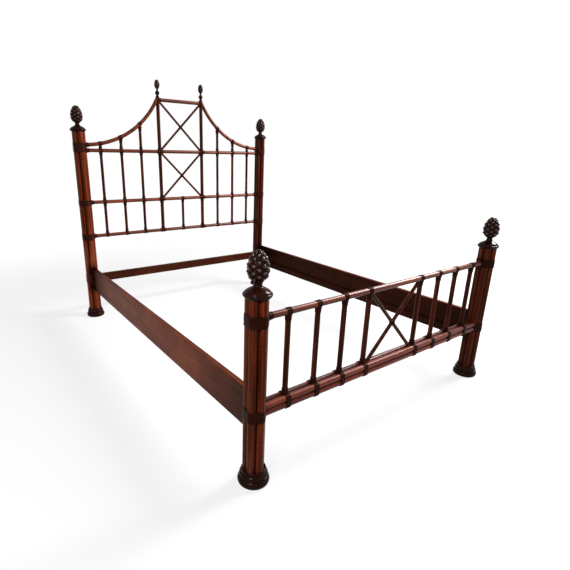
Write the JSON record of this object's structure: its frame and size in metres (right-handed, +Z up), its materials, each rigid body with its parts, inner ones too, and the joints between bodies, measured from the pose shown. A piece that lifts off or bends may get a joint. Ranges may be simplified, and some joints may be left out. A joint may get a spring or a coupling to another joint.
{
  "type": "bed frame",
  "caption": "Four-post bed frame with bundled reed posts, pole-and-spindle head and foot boards with crossed braces, swept crest rails, cone finials and lift-off plank side rails.",
  "frame": {"origin": "on the floor under the middle of the frame", "axes": "+Y from foot board to head board, +X to the right seen from the foot, +Z up"},
  "size_m": [1.7318, 2.3218, 1.788],
  "materials": {
    "stained_reed": "dark red-brown stained cane, satin lacquer",
    "stained_pole": "dark red-brown stained cane, satin lacquer",
    "dark_turning": "near-black brown turned wood, worn satin lacquer",
    "peel_binding": "dark cane peel, lacquered",
    "stained_plank": "dark red-brown stained plank, satin lacquer",
    "hidden_core": "plain unfinished wood",
    "hook_steel": "plain zinc-plated steel"
  },
  "bodies": {
    "end_boards": {"head_left_post_reeds": "stained_reed", "head_left_post_core": "hidden_core", "head_left_post_cap": "dark_turning", "head_left_finial": "dark_turning", "head_left_foot": "dark_turning", "head_left_bindings": "peel_binding", "head_right_post_reeds": "stained_reed", "head_right_post_core": "hidden_core", "head_right_post_cap": "dark_turning", "head_right_finial": "dark_turning", "head_right_foot": "dark_turning", "head_right_bindings": "peel_binding", "foot_left_post_reeds": "stained_reed", "foot_left_post_core": "hidden_core", "foot_left_post_cap": "dark_turning", "foot_left_finial": "dark_turning", "foot_left_foot": "dark_turning", "foot_left_bindings": "peel_binding", "foot_right_post_reeds": "stained_reed", "foot_right_post_core": "hidden_core", "foot_right_post_cap": "dark_turning", "foot_right_finial": "dark_turning", "foot_right_foot": "dark_turning", "foot_right_bindings": "peel_binding", "head_crest_rail_left": "stained_pole", "head_crest_rail_right": "stained_pole", "head_upper_rail": "stained_pole", "head_middle_rail": "stained_pole", "head_lower_rail": "stained_pole", "head_panel_top_rail": "stained_pole", "head_panel_upright_left": "stained_pole", "head_panel_upright_right": "stained_pole", "head_spindles_left": "stained_pole", "head_spindles_right": "stained_pole", "head_centre_spindle": "stained_pole", "head_upper_cross": "stained_pole", "head_lower_cross": "stained_pole", "head_small_finials": "dark_turning", "head_base_rail": "stained_plank", "head_joint_wraps": "peel_binding", "foot_top_rail": "stained_pole", "foot_bottom_rail": "stained_pole", "foot_spindles_left": "stained_pole", "foot_spindles_right": "stained_pole", "foot_panel_uprights": "stained_pole", "foot_cross": "stained_pole", "foot_top_wraps": "peel_binding", "foot_bottom_wraps": "peel_binding", "head_hook_pins": "hook_steel", "foot_hook_pins": "hook_steel"},
    "left_rail": {"left_side_rail": "stained_plank", "left_ledger": "stained_plank", "left_rail_hooks": "hook_steel", "left_ledger_screws": "hook_steel"},
    "right_rail": {"right_side_rail": "stained_plank", "right_ledger": "stained_plank", "right_rail_hooks": "hook_steel", "right_ledger_screws": "hook_steel"}
  },
  "joints": [
    {"name": "left_rail_lift", "type": "slide", "parent": "end_boards", "child": "left_rail", "axis": [0, 0, 1], "range_m": [0, 0.014]},
    {"name": "right_rail_lift", "type": "slide", "parent": "end_boards", "child": "right_rail", "axis": [0, 0, 1], "range_m": [0, 0.014]}
  ]
}
